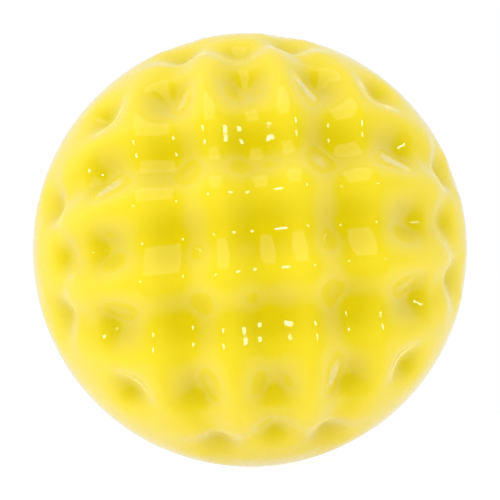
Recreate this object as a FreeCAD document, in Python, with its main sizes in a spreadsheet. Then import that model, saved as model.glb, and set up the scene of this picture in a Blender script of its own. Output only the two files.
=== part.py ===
"""A golf ball as a parametric assembly of bonded layers, in millimetres.

A solid rubber core is wrapped by a thin mantle.  Two dimpled cups, moulded round the
mantle, meet at a smooth parting band and make the cover.  The wide dimples run into each
other, so their edges are ridges.  The origin is the centre of the ball and +Z is up.  The
parting plane is y = 0, and the middle dimple of the front cup looks along -Y.
"""
import FreeCAD, Part
import math
import os

# Plain numbers: lengths in millimetres, angles in degrees seen from the ball's centre.
SIZES = {
    # layers
    "ball_diameter": 42.67,
    "cover_thickness": 3.2,
    "mantle_thickness": 1.3,
    # square grid of dimples round the middle of each cup
    "grid_pitch": 22.0,
    "grid_dimple_width": 30.5,
    "grid_dimple_depth": 2.1,
    # one small dimple beyond the middle of each side of the grid
    "side_dimple_polar": 61.0,
    "side_dimple_width": 18.0,
    "side_dimple_depth": 0.9,
    # a pair of dimples that flanks each small one
    "pair_dimple_polar": 69.0,
    "pair_dimple_turn": 15.5,
    "pair_dimple_width": 20.0,
    "pair_dimple_depth": 1.2,
}

GRID_REACH = 2      # dimples from the middle of the grid to its edge
SIDES = 4           # sides of the grid
SUB_PARTS = ("core", "mantle", "cover_front", "cover_back")

BALL_RADIUS = "sizes.ball_diameter / 2"
MANTLE_RADIUS = f"({BALL_RADIUS} - sizes.cover_thickness)"
CORE_RADIUS = f"({MANTLE_RADIUS} - sizes.mantle_thickness)"


def make_sheet(doc):
    """Put every driving size into a spreadsheet, one alias a row."""
    sheet = doc.addObject("Spreadsheet::Sheet", "sizes")
    for row, (name, value) in enumerate(SIZES.items(), start=1):
        sheet.set(f"A{row}", name)
        sheet.set(f"B{row}", str(value))
        sheet.setAlias(f"B{row}", name)
    doc.recompute()


def sphere(doc, name, radius):
    """A full ball about the origin, its radius given as an expression."""
    ball = doc.addObject("Part::Sphere", name)
    ball.setExpression("Radius", radius)
    return ball


def cut(doc, name, base, tool):
    """The base with the tool taken away."""
    result = doc.addObject("Part::Cut", name)
    result.Base = base
    result.Tool = tool
    return result


def dimple_places():
    """Family, polar angle from -Y and turn about the Y axis of each dimple of one cup.

    The polar angle is an expression, and both angles are in degrees.
    """
    steps = range(-GRID_REACH, GRID_REACH + 1)
    for across in steps:
        for up in steps:
            polar = f"sizes.grid_pitch * {math.hypot(across, up):.9f}"
            yield "grid", polar, f"{math.degrees(math.atan2(up, across)):.9f}"
    for side in range(SIDES):
        turn = side * 360 / SIDES
        yield "side", "sizes.side_dimple_polar", f"{turn}"
        yield "pair", "sizes.pair_dimple_polar", f"({turn} - sizes.pair_dimple_turn)"
        yield "pair", "sizes.pair_dimple_polar", f"({turn} + sizes.pair_dimple_turn)"


def dimple_cutter(doc, name, family, polar, turn):
    """A ball that leaves a round dish of the family's width and depth in the cover.

    The dish passes through the rim circle and through its floor on the dimple's axis.
    """
    half_width = f"sizes.{family}_dimple_width / 2"
    rim = f"({BALL_RADIUS} * sin({half_width}))"
    floor = f"({BALL_RADIUS} - sizes.{family}_dimple_depth)"
    rise = f"({BALL_RADIUS} * cos({half_width}) - {floor})"
    dish_radius = f"(({rim}^2 + {rise}^2) / (2 * {rise}))"
    reach = f"({floor} + {dish_radius})"
    cutter = sphere(doc, name, dish_radius)
    cutter.setExpression("Placement.Base.x", f"{reach} * sin({polar}) * cos({turn})")
    cutter.setExpression("Placement.Base.y", f"-{reach} * cos({polar})")
    cutter.setExpression("Placement.Base.z", f"{reach} * sin({polar}) * sin({turn})")
    doc.recompute([cutter])
    # The cutter's own seam is turned away from the ball, so that the dish is one face.
    outward = cutter.Placement.Base
    cutter.Placement.Rotation = FreeCAD.Rotation(FreeCAD.Vector(1, 0, 0), outward)
    return cutter


def make_core(doc):
    """The solid rubber middle."""
    return sphere(doc, "core_ball", CORE_RADIUS)


def make_mantle(doc):
    """The thin layer wrapped round the core."""
    outer = sphere(doc, "mantle_outside", MANTLE_RADIUS)
    inner = sphere(doc, "mantle_inside", CORE_RADIUS)
    return cut(doc, "mantle_shell", outer, inner)


def make_front_cup(doc):
    """The front half of the cover: a half shell less its dimples."""
    outside = sphere(doc, "cup_outside", BALL_RADIUS)
    outside.Angle3 = 180
    outside.Placement.Rotation = FreeCAD.Rotation(FreeCAD.Vector(0, 0, 1), 180)
    blank = cut(doc, "cup_blank", outside, sphere(doc, "cup_inside", MANTLE_RADIUS))
    cutters = doc.addObject("Part::MultiFuse", "dimple_cutters")
    cutters.Shapes = [
        dimple_cutter(doc, f"dimple_{count:02d}", *place)
        for count, place in enumerate(dimple_places(), start=1)
    ]
    return cut(doc, "cup_dimpled", blank, cutters)


def make_back_cup(doc, front_cup):
    """The back half of the cover, the front half's mirror image in the parting plane."""
    mirrored = doc.addObject("Part::Mirroring", "cup_mirrored")
    mirrored.Source = front_cup
    mirrored.Normal = FreeCAD.Vector(0, 1, 0)
    return mirrored


def check(doc, sub_parts):
    """Stop when any object failed, or any sub-part is empty, broken or more than one solid."""
    for thing in doc.Objects:
        if "Invalid" in thing.State or "Error" in thing.State:
            raise RuntimeError(f"{thing.Name} failed: {thing.State}")
    for thing in sub_parts:
        shape = thing.Shape
        if shape.isNull() or not shape.isValid() or len(shape.Solids) != 1:
            raise RuntimeError(f"{thing.Label} is not one valid solid")


def main():
    doc = FreeCAD.newDocument("golf_ball")
    make_sheet(doc)
    front_cup = make_front_cup(doc)
    sub_parts = [make_core(doc), make_mantle(doc), front_cup, make_back_cup(doc, front_cup)]
    for thing, label in zip(sub_parts, SUB_PARTS):
        thing.Label = label
    doc.recompute()
    check(doc, sub_parts)
    os.makedirs("parts", exist_ok=True)
    for thing in sub_parts:
        thing.Shape.exportStep(f"parts/{thing.Label}.step")
        print(thing.Label, round(thing.Shape.Volume, 1), "mm3", len(thing.Shape.Faces), "faces")


main()
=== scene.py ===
"""A glossy yellow golf ball with wide soft dimples, on a bright studio table."""

import math

import bpy
import numpy as np
from bpy.props import FloatProperty, FloatVectorProperty, IntProperty, PointerProperty
from bpy.types import Operator, Panel, PropertyGroup
from mathutils import Matrix, Vector


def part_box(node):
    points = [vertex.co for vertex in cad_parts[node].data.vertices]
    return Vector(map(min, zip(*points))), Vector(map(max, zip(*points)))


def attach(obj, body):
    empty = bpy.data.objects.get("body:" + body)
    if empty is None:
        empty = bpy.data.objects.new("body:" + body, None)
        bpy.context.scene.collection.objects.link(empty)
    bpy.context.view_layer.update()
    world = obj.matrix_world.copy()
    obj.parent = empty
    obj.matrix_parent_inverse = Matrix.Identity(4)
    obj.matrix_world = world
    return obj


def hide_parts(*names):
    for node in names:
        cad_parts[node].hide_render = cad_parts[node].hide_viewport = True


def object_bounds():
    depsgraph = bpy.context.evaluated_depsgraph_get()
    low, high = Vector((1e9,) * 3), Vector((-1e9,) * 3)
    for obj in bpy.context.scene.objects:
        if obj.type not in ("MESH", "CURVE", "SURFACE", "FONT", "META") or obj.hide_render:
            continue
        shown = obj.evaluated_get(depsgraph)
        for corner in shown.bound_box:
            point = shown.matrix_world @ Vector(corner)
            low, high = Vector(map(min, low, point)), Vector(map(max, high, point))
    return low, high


bl_info = {
    "name": "Golf Ball",
    "version": (1, 0, 0),
    "blender": (4, 5, 0),
    "location": "View3D > Sidebar > Golf Ball",
    "description": "Builds the dimpled cover halves, the finishes and the studio of a golf ball",
    "category": "Object",
}

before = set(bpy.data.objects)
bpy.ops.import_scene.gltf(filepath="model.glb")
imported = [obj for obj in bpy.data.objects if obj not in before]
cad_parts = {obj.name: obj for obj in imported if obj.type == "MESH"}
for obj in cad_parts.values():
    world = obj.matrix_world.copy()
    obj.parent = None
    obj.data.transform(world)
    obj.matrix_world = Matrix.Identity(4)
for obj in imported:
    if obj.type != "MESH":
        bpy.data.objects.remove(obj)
CAD_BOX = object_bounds()

COVER_LOW, COVER_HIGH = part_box("cover_front")
MANTLE_LOW, MANTLE_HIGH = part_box("mantle")
BALL_RADIUS = (COVER_HIGH.x - COVER_LOW.x) / 2
CUP_INSIDE_RADIUS = (MANTLE_HIGH.x - MANTLE_LOW.x) / 2
SIDES = 4                           # sides of the dimples' square grid
SHARP_EDGE = math.radians(50)       # an edge that turns more than this isn't smoothed
LAYER_SHADE = 0.82                  # darkest blotch of a plain layer, over its own colour
PEEL_HEIGHT = 0.0002                # metres
GRAIN_HEIGHT = 0.0001               # metres
TABLE_RADIUS = 60                   # ball radii
TABLE_CORNERS = 96


# ---------------------------------------------------------------------------
# What a user can change
# ---------------------------------------------------------------------------

def angle(name, description, degrees):
    """An angle property, its default given in degrees."""
    return FloatProperty(name=name, description=description, default=math.radians(degrees),
                         unit="ROTATION", subtype="ANGLE")


def share(name, description, value):
    """A plain number property, such as a share of the ball's radius or a mask's strength."""
    return FloatProperty(name=name, description=description, default=value, precision=4)


def colour(name, description, value):
    """A colour property in linear light."""
    return FloatVectorProperty(name=name, description=description, default=value, size=3,
                               subtype="COLOR", min=0, max=1)


class BallShape(PropertyGroup):
    """Sizes of the dimples, as angles seen from the ball's centre and shares of its radius."""

    grid_pitch: angle("Grid pitch", "Angle from one dimple of the square grid to the next", 22)
    grid_reach: IntProperty(name="Grid reach", default=2, min=0,
                            description="Dimples from the middle of the grid to its edge")
    grid_depth: share("Grid dimple depth", "Depth of a grid dimple, over the ball's radius", 0.1)
    edge_share: share("Edge depth", "Depth of a trough on the grid's edge, over the others'", 0.6)
    edge_steepness: share("Edge steepness", "Slope of the grid's outermost wall, over the others'",
                          1.5)
    side_polar: angle("Side dimple place", "Angle from the cup's middle to a side dimple", 61)
    side_width: angle("Side dimple width", "Angle across a side dimple", 16)
    side_depth: share("Side dimple depth", "Depth of a side dimple, over the ball's radius", 0.055)
    pair_polar: angle("Pair dimple place", "Angle from the cup's middle to a paired dimple", 69)
    pair_turn: angle("Pair dimple turn", "Turn of a paired dimple from its side dimple", 15.5)
    pair_width: angle("Pair dimple width", "Angle across a paired dimple", 18)
    pair_depth: share("Pair dimple depth", "Depth of a paired dimple, over the ball's radius",
                      0.075)
    rings: IntProperty(name="Rings", description="Rings of the outer skin of a cup", default=180)
    segments: IntProperty(name="Segments", description="Segments round a cup", default=480)
    inner_rings: IntProperty(name="Inner rings", description="Rings inside a cup", default=12)


class BallFinish(PropertyGroup):
    """Colours and gloss of the ball's materials."""

    # Painted light: the ridge yellow is painted paler as a painted reflection, and the floor yellow
    # deeper as painted shade
    ridge_yellow_and_sheen: colour("Ridge colour", "Pale yellow of the ridges", (0.70, 0.565, 0.018))
    floor_yellow_and_shade: colour("Floor colour", "Deep yellow of the dimples' floors", (0.60, 0.475, 0.002))
    mottle_share: share("Mottle", "How much the soft blotches darken the cover", 0.06)
    cover_roughness: share("Cover roughness", "Roughness of the polished cover", 0.06)
    cover_relief: share("Cover relief", "Share of the dimples' depth that the finish adds", 0.4)
    cover_glow: share("Cover glow", "Paleness of what the gloss mirrors of the cover itself", 0.2)
    mantle_colour: colour("Mantle colour", "Milky white of the mantle", (0.80, 0.77, 0.68))
    core_colour: colour("Core colour", "Orange brown of the core rubber", (0.42, 0.13, 0.03))


class Studio(PropertyGroup):
    """The camera and the lights round the ball."""

    camera_azimuth: angle("Camera azimuth", "Turn of the camera round the ball", -3.7)
    camera_elevation: angle("Camera elevation", "Height of the camera over the horizon", -4.9)
    camera_roll: angle("Camera roll", "Lean of the camera about its own view", -5.6)
    camera_distance: share("Camera distance", "From the ball's centre, in ball radii", 10.0)
    camera_lens: share("Lens", "Focal length in millimetres on a 36 mm sensor", 155.5)
    front_spread: angle("Front spread", "Angle from -Y within which the gloss mirrors the front", 55)
    side_spread: angle("Side spread", "Angle from -Y beyond which the gloss mirrors the sides", 105)
    front_glow: share("Front glow", "Light of what the gloss mirrors in front", 0.0)
    side_glow: share("Side glow", "Light of what the gloss mirrors at the sides", 0.9)
    table_glow: share("Table glow", "Light given off by the table", 0.85)
    surround_glow: share("Surround glow", "Light of the white surroundings", 1.0)


# ---------------------------------------------------------------------------
# Surfaces
# ---------------------------------------------------------------------------

def dimple_places(shape):
    """Place, width, half depth and two edge marks of each dimple of one cup, as arrays.

    A place is on a flat map, which puts a direction at its polar angle from the cup's middle,
    along its turn about it.  An edge mark is the sign of the dimple's place along the map's
    first or second axis where it lies on the grid's edge, and zero elsewhere.
    """
    steps = np.arange(-shape.grid_reach, shape.grid_reach + 1)
    across, up = (places.ravel() for places in np.meshgrid(steps, steps))
    quarters = np.arange(SIDES) * 2 * np.pi / SIDES
    polar = np.repeat([shape.side_polar, shape.pair_polar], (SIDES, 2 * SIDES))
    turn = np.concatenate([quarters, quarters - shape.pair_turn, quarters + shape.pair_turn])
    counts = (across.size, SIDES, 2 * SIDES)
    plain = np.zeros(turn.size)
    first_edge, second_edge = (
        np.sign(place) * (np.abs(place) == shape.grid_reach) for place in (across, up)
    )
    return (
        np.concatenate([across * shape.grid_pitch, polar * np.cos(turn)]),
        np.concatenate([up * shape.grid_pitch, polar * np.sin(turn)]),
        np.repeat([shape.grid_pitch, shape.side_width, shape.pair_width], counts),
        np.repeat([shape.grid_depth, shape.side_depth, shape.pair_depth], counts) / 2,
        np.concatenate([first_edge, plain]),
        np.concatenate([second_edge, plain]),
    )


def directions(polar, turn):
    """Unit vectors: sine of polar times cosine and sine of turn, then cosine of polar."""
    return np.stack([
        np.sin(polar) * np.cos(turn),
        np.sin(polar) * np.sin(turn),
        np.cos(polar) * np.ones_like(turn),
    ], axis=-1)


def dimple_depth(outward, shape):
    """Depth of the dimpled skin over the ball's radius, along each outward unit vector.

    The depth is the sum of the dimples.  Each is half a trough across the map's first axis
    and half a trough across its second, and inside the grid its neighbours carry both on.
    """
    polar = np.arccos(np.clip(outward[..., 2], -1, 1))
    turn = np.arctan2(outward[..., 1], outward[..., 0])
    across, up, width, half_depth, first_edge, second_edge = dimple_places(shape)
    beside = ((polar * np.cos(turn))[..., None] - across) / width
    above = ((polar * np.sin(turn))[..., None] - up) / width
    first = trough(beside, first_edge, shape) * reach(above, first_edge)
    second = trough(above, second_edge, shape) * reach(beside, second_edge)
    return (half_depth * (first + second)).sum(axis=-1)


def trough(offset, edge, shape):
    """Squared cosine over a width: one on the line, nothing from half a width away.

    A trough on the grid's edge is shallower, and rises more steeply on its outward side.
    """
    steepness = np.where(offset * edge > 0, shape.edge_steepness, 1)
    depth = np.where(edge == 0, 1, shape.edge_share)
    return depth * np.cos(np.pi * np.clip(offset * steepness, -0.5, 0.5)) ** 2


def reach(offset, edge):
    """Squared cosine along a trough, over two widths, or over one for a trough on the edge.

    Over two widths it adds to one over dimples a width apart, so the trough carries on.
    """
    span = np.where(edge == 0, 2, 1)
    return np.cos(np.pi * np.clip(offset / span, -0.5, 0.5)) ** 2


def cup_surface(shape, facing):
    """Points, faces, depth and relief of one closed cup, its middle along facing times -Y.

    The first parameter runs from the middle dimple over the dimpled skin to the parting
    plane, then back to the middle along the plain inside; the second runs once round.  Each
    point is its direction times its radius, which on the skin is one less the depth.  The
    relief is the depth, faded out by a squared cosine from the grid's edge to the pairs.
    """
    outer = np.linspace(0, np.pi / 2, shape.rings + 1)[1:]
    inner = np.linspace(np.pi / 2, 0, shape.inner_rings + 1)[:-1]
    around = np.linspace(0, 2 * np.pi, shape.segments, endpoint=False)
    middle = np.array([[0.0, 0.0, 1.0]])
    skin = directions(*np.meshgrid(outer, around, indexing="ij")).reshape(-1, 3)
    skin = np.concatenate([middle, skin])
    inside = directions(*np.meshgrid(inner, around, indexing="ij")).reshape(-1, 3)
    inside = np.concatenate([inside, middle])
    depth = dimple_depth(skin, shape)
    points = np.concatenate([
        skin * (1 - depth)[:, None] * BALL_RADIUS,
        inside * CUP_INSIDE_RADIUS,
    ])
    depth = np.concatenate([depth, np.zeros(len(inside))])
    polar = np.arccos(np.clip(np.concatenate([skin, inside])[:, 2], -1, 1))
    edge = shape.grid_pitch * (shape.grid_reach + 0.5)
    past_edge = np.clip((polar - edge) / (shape.pair_polar - edge), 0, 1)
    relief = depth * np.cos(np.pi / 2 * past_edge) ** 2
    placed = np.stack([points[:, 0], -facing * points[:, 2], points[:, 1]], axis=1)
    faces = revolved_faces(len(outer) + len(inner), shape.segments)
    if facing < 0:
        faces = [face[::-1] for face in faces]
    return placed, faces, depth, relief


def revolved_faces(rows, columns):
    """Faces of a closed grid of rows round an axis, with a fan at each of its two ends."""
    here = np.arange(columns)
    ahead = np.roll(here, -1)
    start = 1 + np.arange(rows - 1)[:, None] * columns
    near, far = start, start + columns
    quads = np.stack([near + here, far + here, far + ahead, near + ahead], axis=-1)
    last_row = 1 + (rows - 1) * columns
    end = 1 + rows * columns
    first_fan = np.stack([np.zeros_like(here), 1 + here, 1 + ahead], axis=-1)
    last_fan = np.stack([np.full_like(here, end), last_row + ahead, last_row + here], axis=-1)
    return quads.reshape(-1, 4).tolist() + first_fan.tolist() + last_fan.tolist()


def add_mesh(name, points, faces, material):
    """A new smooth-shaded object at the origin, with its sharp edges kept."""
    mesh = bpy.data.meshes.new(name)
    mesh.from_pydata(points.tolist(), [], faces)
    mesh.polygons.foreach_set("use_smooth", np.ones(len(mesh.polygons), dtype=bool))
    mesh.set_sharp_from_angle(angle=SHARP_EDGE)
    mesh.materials.append(material)
    mesh.validate()
    piece = bpy.data.objects.new(name, mesh)
    bpy.context.scene.collection.objects.link(piece)
    return piece


# ---------------------------------------------------------------------------
# Materials
# ---------------------------------------------------------------------------

def add_node(tree, kind, inputs, **settings):
    """A node of the kind with its settings, and its inputs given as values or as sockets."""
    node = tree.nodes.new(kind)
    for name, value in settings.items():
        setattr(node, name, value)
    for label, value in inputs.items():
        if isinstance(value, bpy.types.NodeSocket):
            tree.links.new(value, node.inputs[label])
        else:
            node.inputs[label].default_value = value
    return node


def group_tree(name, inputs, outputs):
    """A node group with the named float inputs and outputs, and its two end nodes."""
    tree = bpy.data.node_groups.new(name, "ShaderNodeTree")
    for label, value in inputs.items():
        socket = tree.interface.new_socket(label, in_out="INPUT", socket_type="NodeSocketFloat")
        socket.default_value = value
    for label in outputs:
        tree.interface.new_socket(label, in_out="OUTPUT", socket_type="NodeSocketFloat")
    return tree, tree.nodes.new("NodeGroupInput"), tree.nodes.new("NodeGroupOutput")


def mottle_group():
    """Soft blotches and fine grain in a moulded layer, both from zero to one."""
    tree, given, out = group_tree("Moulded Mottle", {"Blotch Scale": 80.0, "Grain Scale": 2500.0},
                                  ("Blotch", "Grain"))
    place = tree.nodes.new("ShaderNodeTexCoord")
    for label, detail in (("Blotch", 3.0), ("Grain", 2.0)):
        noise = add_node(tree, "ShaderNodeTexNoise", {
            "Vector": place.outputs["Object"],
            "Scale": given.outputs[f"{label} Scale"],
            "Detail": detail,
        })
        tree.links.new(noise.outputs["Fac"], out.inputs[label])
    return tree


def new_material(name):
    """A material with an empty node tree but for a Principled shader and its output."""
    material = bpy.data.materials.new(name)
    material.use_nodes = True
    tree = material.node_tree
    tree.nodes.clear()
    shader = tree.nodes.new("ShaderNodeBsdfPrincipled")
    output = tree.nodes.new("ShaderNodeOutputMaterial")
    tree.links.new(shader.outputs["BSDF"], output.inputs["Surface"])
    return material, tree, shader


def mix_colours(tree, factor, first, second, blend="MIX"):
    """The output socket of a blend of two colours, each a socket or a plain colour."""
    first, second = (
        thing if isinstance(thing, bpy.types.NodeSocket) else (*thing, 1.0)
        for thing in (first, second)
    )
    mixed = add_node(tree, "ShaderNodeMixRGB", {
        "Fac": factor,
        "Color1": first,
        "Color2": second,
    }, blend_type=blend)
    return mixed.outputs["Color"]


def cover_material(shape, finish, mottle):
    """Polished yellow cover: ridges painted paler as a painted reflection, dimple floors painted
    deeper as painted shade, soft mottle, fuller relief, orange peel.

    The mesh carries the depth of each point for the painted shade and reflection in the colour,
    and its relief for the bump.  The gloss mirrors the cover itself a little paler than it is,
    by a painted glow that only it sees.
    """
    material, tree, shader = new_material("cover_yellow")
    effect = add_node(tree, "ShaderNodeGroup", {}, node_tree=mottle)
    depth = add_node(tree, "ShaderNodeAttribute", {}, attribute_name="depth").outputs["Fac"]
    # Painted shade and reflection: deeper points are painted darker as painted shade, and the ridges
    # paler as a painted reflection
    sheen_to_shade = add_node(tree, "ShaderNodeMapRange", {
        "Value": depth,
        "From Max": shape.grid_depth,
    }, interpolation_type="SMOOTHSTEP").outputs["Result"]
    tint = mix_colours(tree, sheen_to_shade, finish.ridge_yellow_and_sheen, finish.floor_yellow_and_shade)
    blotch = mix_colours(tree, effect.outputs["Blotch"], (1, 1, 1), (0, 0, 0))
    tint = mix_colours(tree, finish.mottle_share, tint, blotch, "MULTIPLY")
    tree.links.new(tint, shader.inputs["Base Color"])
    height = add_node(tree, "ShaderNodeAttribute", {}, attribute_name="relief").outputs["Fac"]
    relief = add_node(tree, "ShaderNodeBump", {
        "Strength": 1.0,
        "Distance": finish.cover_relief * BALL_RADIUS,
        "Height": height,
    }, invert=True)
    peel = add_node(tree, "ShaderNodeBump", {
        "Strength": 0.05,
        "Distance": PEEL_HEIGHT,
        "Height": effect.outputs["Blotch"],
        "Normal": relief.outputs["Normal"],
    })
    tree.links.new(peel.outputs["Normal"], shader.inputs["Normal"])
    ray = tree.nodes.new("ShaderNodeLightPath")
    glow = add_node(tree, "ShaderNodeMath", {
        0: ray.outputs["Is Glossy Ray"],
        1: finish.cover_glow,
    }, operation="MULTIPLY")
    tree.links.new(glow.outputs["Value"], shader.inputs["Emission Strength"])
    shader.inputs["Roughness"].default_value = finish.cover_roughness
    shader.inputs["Subsurface Weight"].default_value = 0.15
    shader.inputs["Subsurface Radius"].default_value = (1.0, 0.7, 0.1)
    shader.inputs["Subsurface Scale"].default_value = 0.001
    return material


def layer_material(name, rgb, roughness, mottle, blotch_scale):
    """A plain moulded layer with blotches of its own colour and a fine grain."""
    material, tree, shader = new_material(name)
    effect = add_node(tree, "ShaderNodeGroup", {}, node_tree=mottle)
    effect.inputs["Blotch Scale"].default_value = blotch_scale
    shade = [LAYER_SHADE * part for part in rgb]
    tint = mix_colours(tree, effect.outputs["Blotch"], rgb, shade)
    tree.links.new(tint, shader.inputs["Base Color"])
    bump = add_node(tree, "ShaderNodeBump", {
        "Strength": 0.2,
        "Distance": GRAIN_HEIGHT,
        "Height": effect.outputs["Grain"],
    })
    tree.links.new(bump.outputs["Normal"], shader.inputs["Normal"])
    shader.inputs["Roughness"].default_value = roughness
    return material


def give_material(node, material):
    """Put the material in every slot of a CAD node's object."""
    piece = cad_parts[node]
    for place in piece.material_slots:
        place.material = material


# ---------------------------------------------------------------------------
# Operators
# ---------------------------------------------------------------------------

class GOLFBALL_OT_cover(Operator):
    """Make the two dimpled halves of the cover"""

    bl_idname = "golfball.cover"
    bl_label = "Cover Halves"

    def execute(self, context):
        shape = context.scene.ball_shape
        finish = context.scene.ball_finish
        material = cover_material(shape, finish, mottle_group())
        for node, facing in (("cover_front", 1), ("cover_back", -1)):
            points, faces, depth, relief = cup_surface(shape, facing)
            piece = add_mesh(node.replace("cover", "cup"), points, faces, material)
            for label, values in (("depth", depth), ("relief", relief)):
                layer = piece.data.attributes.new(label, "FLOAT", "POINT")
                layer.data.foreach_set("value", values)
            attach(piece, "root")
            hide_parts(node)
            give_material(node, material)
        return {"FINISHED"}


class GOLFBALL_OT_inner_layers(Operator):
    """Give the core and the mantle their own finishes"""

    bl_idname = "golfball.inner_layers"
    bl_label = "Core and Mantle"

    def execute(self, context):
        finish = context.scene.ball_finish
        mottle = bpy.data.node_groups["Moulded Mottle"]
        for node, name, rgb, roughness, blotch_scale in (
            ("mantle", "mantle_white", finish.mantle_colour, 0.45, 120.0),
            ("core", "core_rubber", finish.core_colour, 0.75, 300.0),
        ):
            give_material(node, layer_material(name, rgb, roughness, mottle, blotch_scale))
        return {"FINISHED"}


class GOLFBALL_OT_studio(Operator):
    """Set up the bright table, the white surroundings, the lights and the camera"""

    bl_idname = "golfball.studio"
    bl_label = "Studio"

    def execute(self, context):
        studio = context.scene.ball_studio
        add_surroundings(context.scene, studio)
        add_table(studio)
        for panel in PANELS:
            add_panel(*panel)
        add_camera(context.scene, studio)
        return {"FINISHED"}


def toward(azimuth, elevation):
    """Unit vector from the ball: azimuth 0 is -Y and grows towards +X, elevation towards +Z."""
    return Vector((
        math.cos(elevation) * math.sin(azimuth),
        -math.cos(elevation) * math.cos(azimuth),
        math.sin(elevation),
    ))


def aim(thing, place, roll=0.0):
    """Put a thing at a place and point its -Z at the ball's centre, rolled about its view."""
    facing = place.to_track_quat("Z", "Y").to_matrix().to_4x4()
    thing.matrix_world = Matrix.Translation(place) @ facing @ Matrix.Rotation(roll, 4, "Z")


# name, azimuth and elevation in degrees, distance, width and height in ball radii, radiance,
# and whether the gloss mirrors it
PANELS = (
    ("left_panel", -48, 5, 30, 4, 4, 14.0, True),
    ("right_panel", 44, 5, 30, 4, 4, 12.0, True),
    ("overhead_panel", -10, 56, 30, 26, 36, 1.1, True),
    ("left_fill", -75, 25, 30, 30, 30, 0.7, False),
)


def add_panel(name, azimuth, elevation, distance, width, height, radiance, mirrored):
    """A soft light panel that faces the ball; its power is radiance times area times pi."""
    light = bpy.data.lights.new(name, "AREA")
    light.shape = "RECTANGLE"
    light.size = width * BALL_RADIUS
    light.size_y = height * BALL_RADIUS
    light.energy = radiance * light.size * light.size_y * math.pi
    lamp = bpy.data.objects.new(name, light)
    bpy.context.scene.collection.objects.link(lamp)
    aim(lamp, toward(math.radians(azimuth), math.radians(elevation)) * distance * BALL_RADIUS)
    lamp.visible_camera = False
    lamp.visible_glossy = mirrored


def add_surroundings(scene, studio):
    """White surroundings that mirror dark in front of the ball, and colours shown as they are.

    What the gloss mirrors is a smooth step of the angle from -Y: the brightness of the front
    up to the front's spread, and the brightness of the sides beyond the sides' spread.
    """
    world = bpy.data.worlds.new("white_surroundings")
    world.use_nodes = True
    tree = world.node_tree
    background = tree.nodes["Background"]
    background.inputs["Color"].default_value = (1, 1, 1, 1)
    place = tree.nodes.new("ShaderNodeTexCoord")
    toward_front = add_node(tree, "ShaderNodeVectorMath", {
        0: place.outputs["Generated"],
        1: (0, -1, 0),
    }, operation="DOT_PRODUCT")
    mirrored = add_node(tree, "ShaderNodeMapRange", {
        "Value": toward_front.outputs["Value"],
        "From Min": math.cos(studio.front_spread),
        "From Max": math.cos(studio.side_spread),
        "To Min": studio.front_glow,
        "To Max": studio.side_glow,
    }, interpolation_type="SMOOTHSTEP")
    ray = tree.nodes.new("ShaderNodeLightPath")
    strength = add_node(tree, "ShaderNodeMix", {
        "Factor": ray.outputs["Is Glossy Ray"],
        "A": studio.surround_glow,
        "B": mirrored.outputs["Result"],
    })
    tree.links.new(strength.outputs["Result"], background.inputs["Strength"])
    scene.world = world
    scene.view_settings.view_transform = "Standard"


def add_table(studio):
    """A wide pale disc under the ball that glows a little, so that no shadow is hard."""
    material, tree, shader = new_material("table_white")
    shader.inputs["Base Color"].default_value = (0.5, 0.5, 0.5, 1)
    shader.inputs["Roughness"].default_value = 0.8
    shader.inputs["Specular IOR Level"].default_value = 0.0
    shader.inputs["Emission Color"].default_value = (1, 1, 1, 1)
    shader.inputs["Emission Strength"].default_value = studio.table_glow
    turns = np.linspace(0, 2 * np.pi, TABLE_CORNERS, endpoint=False)
    rim = directions(np.full_like(turns, np.pi / 2), turns) * TABLE_RADIUS * BALL_RADIUS
    points = rim + np.array([0, 0, CAD_BOX[0][2]])
    table = add_mesh("table", points, [list(range(len(turns)))], material)
    table.visible_glossy = False


def add_camera(scene, studio):
    """A long lens that looks at the ball's centre."""
    data = bpy.data.cameras.new("camera")
    data.lens = studio.camera_lens
    data.sensor_width = 36
    data.clip_start = 0.01
    data.clip_end = 100
    camera = bpy.data.objects.new("camera", data)
    scene.collection.objects.link(camera)
    place = toward(studio.camera_azimuth, studio.camera_elevation)
    aim(camera, place * studio.camera_distance * BALL_RADIUS, studio.camera_roll)
    scene.camera = camera


class GOLFBALL_PT_sidebar(Panel):
    """Sizes, colours and buttons in the 3D view's sidebar"""

    bl_idname = "GOLFBALL_PT_sidebar"
    bl_label = "Golf Ball"
    bl_space_type = "VIEW_3D"
    bl_region_type = "UI"
    bl_category = "Golf Ball"

    def draw(self, context):
        for step in STEPS:
            self.layout.operator(step.bl_idname)
        for group_name in GROUPS:
            group = getattr(context.scene, group_name)
            box = self.layout.box()
            for name in group.__annotations__:
                box.prop(group, name)


GROUPS = {"ball_shape": BallShape, "ball_finish": BallFinish, "ball_studio": Studio}
STEPS = (GOLFBALL_OT_cover, GOLFBALL_OT_inner_layers, GOLFBALL_OT_studio)
CLASSES = (*GROUPS.values(), *STEPS, GOLFBALL_PT_sidebar)


def register():
    """Register every class and hang the property groups on the scene."""
    for item in CLASSES:
        bpy.utils.register_class(item)
    for name, group in GROUPS.items():
        setattr(bpy.types.Scene, name, PointerProperty(type=group))


def unregister():
    """Undo register."""
    for name in GROUPS:
        delattr(bpy.types.Scene, name)
    for item in reversed(CLASSES):
        bpy.utils.unregister_class(item)


def plain(box):
    """A box as plain lists of numbers."""
    return [[float(number) for number in corner] for corner in box]


def main():
    """Build everything."""
    register()
    bpy.ops.golfball.cover()
    bpy.ops.golfball.inner_layers()
    bpy.ops.golfball.studio()


if __name__ == "__main__":
    main()
